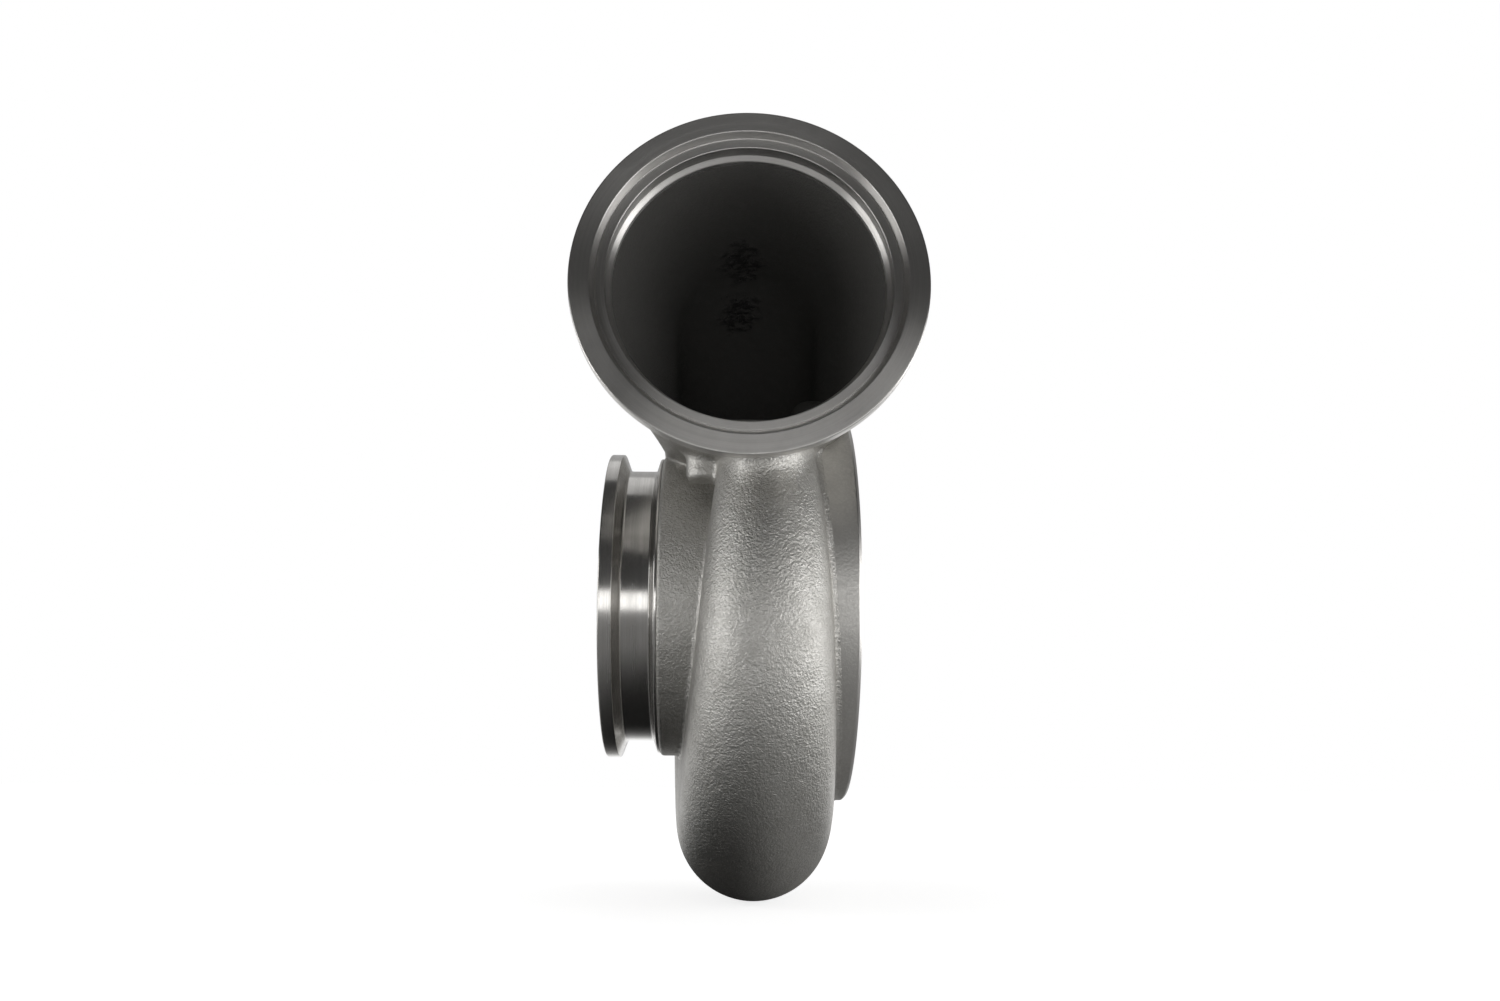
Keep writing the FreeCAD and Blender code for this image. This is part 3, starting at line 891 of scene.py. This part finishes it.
def turned_pieces() -> list[Turned]:
    """The boss's rim, the two V-band rings and the shroud, each from its corners."""
    band = VBand()
    back, root, spigot, bore = 8.0, 6.6, 35.6, 31.5
    inlet = band.outside() + [(back, 40.9, 0.2), (back, spigot, 0.2), (root, spigot, 0.3)] + band.inside()
    seat, collar, end = 15.8, 44.8, 22.3
    outlet = band.outside() + [
        (seat - 2.0, band.neck, 0.6), (seat - 0.8, collar, 0.35), (seat, collar, 0.15),
        (seat, band.neck, 0.1), (end, band.neck, 0.3), (end, bore, 0.3),
    ] + band.inside()
    back, step, mouth, outer, flange = -48.0, -28.0, -25.0, 41.0, 44.5
    shroud = [
        (back, bore, 0.2), (back, outer, 0.2), (step, outer, 0.2), (step, flange, 0.2),
        (mouth, flange, 0.3), (mouth, 36.5, 0.5), (-27.6, 34.45, 1.6), (-33.0, 32.0, 2.6),
        (-40.0, bore, 3.5),
    ]
    face, root, inner = -54.5, -46.0, 43.0
    rim = [(face, 45.5, 1.2), (root, 45.47, 0.2), (root, inner, 0.2), (face, inner, 0.2)]
    along, turned = Axis.ALONG_X, "machined_stainless"
    middle, outlet_face = (0, 0, 0), (-70.3, 0, 0)
    return [
        Turned("boss_rim", middle, along, rim, CAST, "cast_stainless", ""),
        Turned("inlet_ring", INLET_CENTRE, Axis.ALONG_Y, inlet, INLET_TURNED, turned, "inlet_vband_flange"),
        Turned("outlet_ring", outlet_face, along, outlet, OUTLET_TURNED, turned, "outlet_vband_flange"),
        Turned("wheel_shroud", middle, along, shroud, SHROUD_TURNED, "shroud_stainless", "turbine_shroud"),
    ]


@dataclass
class HousingRing(Part):
    """Ring that the centre housing bolts to: turned outline, and a mating face with its holes."""

    finish, slot, node = RING_TURNED, "ring_stainless", "centre_housing_ring"
    bolt_radius: float = 4.35
    bolt_depth: float = 9.0
    dowel_radius: float = 2.0
    dowel_depth: float = 6.0
    dowel_half_deg: int = 3
    hole_chamfer: float = 0.3
    hole_flare: float = 0.25
    face: Pair = (45.5, 57.5)
    pilot: Pair = (-5.0, 45.0)
    back: Pair = (-12.0, 41.5)
    outer: float = 58.3
    outer_edge: float = 0.8
    blasted: Pair = (-1.0, 58.0)
    side_steps: int = 8
    fill_steps: int = 6

    def sector(
        self, start: int, end: int, hole_deg: float, radius: float, depth: float
    ) -> tuple[Array, Array, Array]:
        """Part of the mating face round one hole, with the hole's wall and floor.

        Rows run from the hole's floor up its wall, over a chamfer and out across the face: row t lies at
        (1 - t) times the hole's edge plus t times the sector's border.

        Args:
            start: First angle of the sector in whole degrees.
            end: Last angle of the sector.
            hole_deg: Angle of the hole's centre.
            radius: Radius of the hole.
            depth: Depth of the hole.

        Returns:
            Vertices, quads and the vertex numbers of the hole's floor.
        """
        low, high = self.face
        degrees = np.arange(start, end + 1.0)
        rise = np.linspace(low, high, self.side_steps + 1)
        wide, tall = degrees.size - 1, self.side_steps
        turn = np.radians(np.r_[degrees[:-1], np.full(tall, end), degrees[:0:-1], np.full(tall, start)])
        radii = np.r_[np.full(wide, low), rise[:-1], np.full(wide, high), rise[:0:-1]]
        border = np.stack([radii * np.sin(turn), radii * np.cos(turn)], 1)
        angle = math.radians(hole_deg)
        hole = BOLT_CIRCLE * np.array([math.sin(angle), math.cos(angle)])
        ray = border - hole
        ray /= np.linalg.norm(ray, axis=1, keepdims=True)
        rows = [np.column_stack([np.full(len(ray), -depth), hole + radius * ray]),
                np.column_stack([np.full(len(ray), -self.hole_chamfer), hole + radius * ray])]
        edge = hole + (radius + self.hole_flare) * ray
        for share in np.linspace(0, 1, self.fill_steps + 1):
            rows.append(np.column_stack([np.zeros(len(ray)), edge + (border - edge) * share]))
        quads = turned_grid(len(rows), len(ray), wrap=False)
        return np.concatenate(rows), quads[:, ::-1], np.arange(len(ray))

    def build(self) -> Piece:
        """Joins the open turned outline to the sectors of the face."""
        (low, high), (step, pilot), (back, bore) = self.face, self.pilot, self.back
        spans, around = 3, 360
        outline, _ = rounded_outline([
            (0.0, high, 0.0), (0.0, low, 0.0), (pilot - low, pilot, 0.15), (step, pilot, 0.2),
            (step, bore, 0.3), (back, bore, 0.3), (back, self.outer, 0.2),
            (-self.outer_edge, self.outer, 0.2),
        ], spans)
        outline = np.concatenate([outline[spans + 1:], outline[:1]])
        body = revolve(outline, np.radians(np.arange(around)), np.eye(3)[[0, 2, 1]])
        parts, faces, floors = [body], [turned_grid(len(outline), around, wrap=False)], []
        offset = len(parts[0])
        for entry in self.sectors(around // BOLTS):
            vertices, quads, floor = self.sector(*entry)
            parts.append(vertices)
            faces.append(quads + offset)
            floors.append(floor + offset)
            offset += len(vertices)
        everything, places = np.concatenate(parts), 3
        rounded = np.round(everything, places)
        _, first, inverse = np.unique(rounded, axis=0, return_index=True, return_inverse=True)
        inverse = inverse.reshape(-1)
        caps = [inverse[floor[::-1]] for floor in floors]
        quads = inverse[np.concatenate(faces)]
        return make_piece("housing_ring", everything[first], quads, caps=caps, sharp_deg=20)

    def sectors(self, step: int) -> list[tuple]:
        """Arguments of each sector: one a bolt hole, with room made for the dowel hole's own."""
        first, last = DOWEL_DEG - self.dowel_half_deg, DOWEL_DEG + self.dowel_half_deg
        plan = [(first, last, DOWEL_DEG, self.dowel_radius, self.dowel_depth)]
        for start in range(0, step * BOLTS, step):
            low = last if start == DOWEL_DEG else start
            high = first if start + step == DOWEL_DEG else start + step
            plan.append((low, high, start + step / 2, self.bolt_radius, self.bolt_depth))
        return plan

    def dress(self, piece: Piece) -> None:
        """Blasted outside, turned faces and bore."""
        piece.data.materials.append(RING_TURNED.material())
        piece.data.materials.append(RING_BLASTED.material())
        centres = np.zeros(len(piece.data.polygons) * 3)
        piece.data.polygons.foreach_get("center", centres)
        x, y, z = centres.reshape(-1, 3).T / MM
        outer = (np.hypot(y, z) > self.blasted[1]) & (x < self.blasted[0])
        piece.data.polygons.foreach_set("material_index", outer.astype(np.int32))
        super().dress(piece)


@dataclass
class Inserts(Part):
    """Thread inserts with a cut M8 thread, one in each tapped hole."""

    finish, slot, node = INSERT_DRAWN, "insert_steel", "thread_inserts"
    outer: float = 4.32
    minor: float = 3.4
    major: float = 4.0
    pitch: float = 1.25
    length: float = 8.98
    top: float = 0.02
    flat: float = 0.125
    mouth: float = 4.1
    edge: Pair = (0.15, 0.12)
    around: int = 64
    rows_per_turn: int = 12

    def build(self) -> Piece:
        """Tube whose inside follows a V thread.

        Inside radius = minor + (major - minor) · v, where v rises and falls once a pitch with the depth
        less the turn's share of a pitch, and the thread opens into a 45 degree chamfer at the face.
        """
        turn = np.linspace(0, 2 * np.pi, self.around, endpoint=False)[None, :]
        rows = int(self.length / self.pitch * self.rows_per_turn)
        depth = np.linspace(self.top, self.length, rows)[:, None]
        wave = np.abs(2 * ((depth / self.pitch - turn / (2 * np.pi)) % 1) - 1)
        rise = np.clip((1 + 2 * self.flat) * wave - self.flat, 0, 1)
        radius = np.maximum(self.minor + (self.major - self.minor) * rise, self.mouth - depth)
        wall_depth = np.array([self.length, self.edge[0], self.top])[:, None] + 0 * turn
        wall_radius = np.array([self.outer, self.outer, self.outer - self.edge[1]])[:, None] + 0 * turn
        x = -np.concatenate([wall_depth, depth + 0 * turn])
        r = np.concatenate([wall_radius, radius])
        tube = np.stack([x, r * np.cos(turn), r * np.sin(turn)], 2).reshape(-1, 3)
        quads = turned_grid(len(x), self.around)
        angle = np.radians(360 / BOLTS * (np.arange(BOLTS) + 0.5))
        centres = BOLT_CIRCLE * np.stack([0 * angle, np.sin(angle), np.cos(angle)], 1)
        vertices = (tube[None] + centres[:, None]).reshape(-1, 3)
        faces = (quads[None] + len(tube) * np.arange(BOLTS)[:, None, None]).reshape(-1, 4)
        return make_piece("m8_inserts", vertices, faces, sharp_deg=35)


@dataclass
class Dowel(Part):
    """Locating pin on the mating face, with a chamfered and rounded end."""

    finish, slot, node = DOWEL_GROUND, "dowel_steel", "locating_dowel"
    radius: float = 1.98
    back: float = -5.98
    stand: float = 3.0
    chamfer: float = 0.4
    ease: Triple = (0.04, 0.05, 0.06)
    back_ease: float = 0.2
    around: int = 48

    def build(self) -> Piece:
        """Rows of circles from the buried end to the rounded tip, closed by two flat ends."""
        start, waist = self.stand - self.chamfer, self.radius - self.chamfer
        fine, middle, wide = self.ease
        rows = np.array([
            (self.back, self.radius - self.back_ease), (self.back + self.back_ease, self.radius),
            (start - wide, self.radius), (start + fine, self.radius - fine),
            (self.stand - middle, waist + wide), (self.stand, waist - middle),
        ])
        turn = np.linspace(0, 2 * np.pi, self.around, endpoint=False)
        angle = math.radians(DOWEL_DEG)
        centre = BOLT_CIRCLE * np.array([0, math.sin(angle), math.cos(angle)])
        grid = centre + revolve(rows, turn, np.eye(3))
        quads = turned_grid(len(rows), self.around, wrap=False)
        last = (len(rows) - 1) * self.around
        caps = [np.arange(self.around)[::-1], np.arange(self.around) + last]
        return make_piece("dowel_pin", grid, quads, caps=caps, sharp_deg=30)


# Studio

@dataclass(frozen=True)
class SoftBox:
    """Rectangular lamp: where it stands, what it faces, its size and its brightness as seen."""

    name: str
    place: Triple
    target: Triple
    width: float
    height: float
    radiance: float

    def build(self) -> None:
        """Makes the lamp, with its power from radiance times pi times its area."""
        lamp = bpy.data.lights.new(self.name, "AREA")
        lamp.shape = "RECTANGLE"
        lamp.size, lamp.size_y = self.width * MM, self.height * MM
        lamp.energy = self.radiance * math.pi * lamp.size * lamp.size_y
        stand = bpy.data.objects.new(self.name, lamp)
        bpy.context.scene.collection.objects.link(stand)
        away = np.array(self.place, float) - np.array(self.target, float)
        away /= np.linalg.norm(away)
        right = np.cross((0, 0, 1), away)
        right /= np.linalg.norm(right)
        up = np.cross(away, right)
        stand.matrix_world = pose_matrix(right, up, away, self.place)
        stand.visible_camera = False


def pose_matrix(right: Array, up: Array, back: Array, place: Triple) -> Matrix:
    """Matrix of an object whose X, Y and Z point along three directions, at a place in millimetres."""
    matrix = np.eye(4)
    matrix[:3, 0], matrix[:3, 1], matrix[:3, 2] = right, up, back
    matrix[:3, 3] = np.array(place, float) * MM
    return Matrix(matrix.tolist())


@dataclass
class Studio:
    """Camera at the photograph's angle, pale floor, soft lamps and a white background."""

    camera_place: Triple = (-36.8, -363.09, -50.33)
    pitch: float = -0.19169
    yaw: float = 0.02205
    roll: float = -0.00585
    lens: float = 28.515
    shift: Pair = (0.00159, 0.02758)
    floor_level: float = -88.0
    floor_half: float = 2500.0
    world_level: float = 0.06
    back_level: float = 0.45
    floor_fill: float = 0.15
    sensor: float = 36.0
    clip: Pair = (0.01, 50.0)
    floor_tone: Pair = (0.54, 0.56)
    foot: Triple = (-0.05375, 0.0, 0.0)
    foot_rate: Triple = (16.0, 6.0, 0.0)
    foot_fade: Pair = (0.25, 0.85)
    foot_shade_strength: float = 0.92
    back_start: Pair = (0.02, 0.2)
    shadow_fade: Pair = (0.08, 0.3)
    shadow_lift: float = 0.78

    def camera(self) -> None:
        """Camera that looks up at the part from low in front of it."""
        east, north = math.sin(self.yaw), math.cos(self.yaw)
        level = math.cos(self.pitch)
        ahead = np.array([east * level, north * level, -math.sin(self.pitch)])
        right = np.array([north, -east, 0.0])
        up = np.cross(right, ahead)
        turned_right = math.cos(self.roll) * right - math.sin(self.roll) * up
        turned_up = math.sin(self.roll) * right + math.cos(self.roll) * up
        data = bpy.data.cameras.new("camera")
        data.lens, data.sensor_width, data.sensor_fit = self.lens, self.sensor, "HORIZONTAL"
        data.shift_x, data.shift_y = self.shift
        data.clip_start, data.clip_end = self.clip
        camera = bpy.data.objects.new("camera", data)
        bpy.context.scene.collection.objects.link(camera)
        camera.matrix_world = pose_matrix(turned_right, turned_up, -ahead, self.camera_place)
        bpy.context.scene.camera = camera

    def floor(self) -> None:
        """Pale matt floor, lifted to white for the camera so that only the part's shadow shows on it.

        In reflections it carries a painted shade round the foot, darkened for glossy rays near the part,
        and it is white behind the part.
        """
        half = self.floor_half
        vertices = np.array([(-half, -half, 0), (half, -half, 0), (half, half, 0), (-half, half, 0)], float)
        vertices[:, 2] = self.floor_level
        floor = make_piece("studio_floor", vertices, np.array([[0, 1, 2, 3]]))
        material = bpy.data.materials.new("studio_floor")
        material.use_nodes = True
        graph = Graph(material.node_tree)
        rays = graph.add("ShaderNodeLightPath").outputs
        place = graph.add("ShaderNodeTexCoord").outputs["Object"]
        tone = graph.ramp(graph.noise(place, 40.0, 3.0), 0.3, 0.7, *self.floor_tone)
        # Painted shade round the part's foot, seen only by glossy rays: the floor's colour is darkened
        # there.
        foot = graph.vector("MULTIPLY", graph.vector("SUBTRACT", place, self.foot), self.foot_rate)
        painted_foot_shade = graph.ramp(graph.vector("LENGTH", foot, out=1), *self.foot_fade, self.foot_shade_strength, 0.0)
        dark = graph.math("SUBTRACT", 1.0, graph.math("MULTIPLY", rays["Is Glossy Ray"], painted_foot_shade))
        matt = graph.add("ShaderNodeBsdfDiffuse", {"Color": graph.math("MULTIPLY", tone, dark)})
        seen = graph.math("MAXIMUM", rays["Is Camera Ray"], rays["Is Transmission Ray"])
        behind = graph.ramp(graph.split(place)[1], *self.back_start)
        seen = graph.math("MAXIMUM", seen, graph.math("MULTIPLY", rays["Is Glossy Ray"], behind))
        far = graph.ramp(graph.vector("LENGTH", place, out=1), *self.shadow_fade, self.shadow_lift, 1.0)
        lift = graph.add("ShaderNodeEmission", {"Strength": graph.math("MULTIPLY", seen, far)})
        both = graph.add("ShaderNodeAddShader", {0: matt.outputs[0], 1: lift.outputs[0]})
        graph.add("ShaderNodeOutputMaterial", {"Surface": both.outputs[0]})
        floor.data.materials.append(material)

    def world(self) -> None:
        """White where the camera looks, soft grey from the front and brighter behind for the part."""
        world = bpy.data.worlds.new("studio")
        bpy.context.scene.world = world
        world.use_nodes = True
        graph = Graph(world.node_tree)
        heading = graph.add("ShaderNodeTexCoord").outputs["Generated"]
        behind = graph.ramp(graph.split(heading)[1], 0.1, 0.7)
        level = graph.math("MULTIPLY_ADD", behind, self.back_level - self.world_level, self.world_level)
        rays = graph.add("ShaderNodeLightPath").outputs
        seen = graph.math("MAXIMUM", rays["Is Camera Ray"], rays["Is Transmission Ray"])
        mirrored = graph.math("MULTIPLY", rays["Is Glossy Ray"], behind)
        white = graph.math("MAXIMUM", seen, graph.math("MULTIPLY", mirrored, self.back_level))
        fill = graph.math("MULTIPLY", rays["Is Diffuse Ray"], self.floor_fill)
        others = graph.math("SUBTRACT", 1.0, rays["Is Diffuse Ray"])
        strength = graph.math("MAXIMUM", graph.math("MULTIPLY", level, others), white)
        strength = graph.math("MAXIMUM", strength, fill)
        glow = graph.add("ShaderNodeBackground", {"Color": (1, 1, 1, 1), "Strength": strength})
        graph.add("ShaderNodeOutputWorld", {"Surface": glow.outputs[0]})

    def lamps(self) -> list[SoftBox]:
        """Soft boxes low at both sides, a thin bright strip in front and a wide one high behind."""
        middle = (-27.0, 0.0, -20.0)
        return [
            SoftBox("left_box", (-375.0, -135.0, 22.0), middle, 300.0, 215.0, 2.6),
            SoftBox("right_box", (385.0, -95.0, 15.0), middle, 560.0, 200.0, 2.8),
            SoftBox("front_strip", (-10.0, -450.0, -36.0), (-10.0, 0.0, -34.0), 420.0, 104.0, 2.3),
            SoftBox("right_front_box", (245.0, -390.0, 0.0), middle, 150.0, 160.0, 1.8),
            SoftBox("top_box", (-20.0, 260.0, 640.0), middle, 600.0, 400.0, 0.5),
        ]

    def build(self) -> None:
        """Sets the whole studio up, with the plain view transform."""
        self.camera()
        self.floor()
        self.world()
        for lamp in self.lamps():
            lamp.build()
        bpy.context.scene.view_settings.view_transform = "Standard"


def main() -> None:
    """Builds and dresses every piece in order, then the studio."""
    logging.basicConfig(level=logging.INFO, format="%(message)s")
    for maker in [CastScroll(), *turned_pieces(), HousingRing(), Inserts(), Dowel()]:
        piece = maker.build()
        maker.dress(piece)
    Studio().build()


if __name__ == "__main__":
    main()
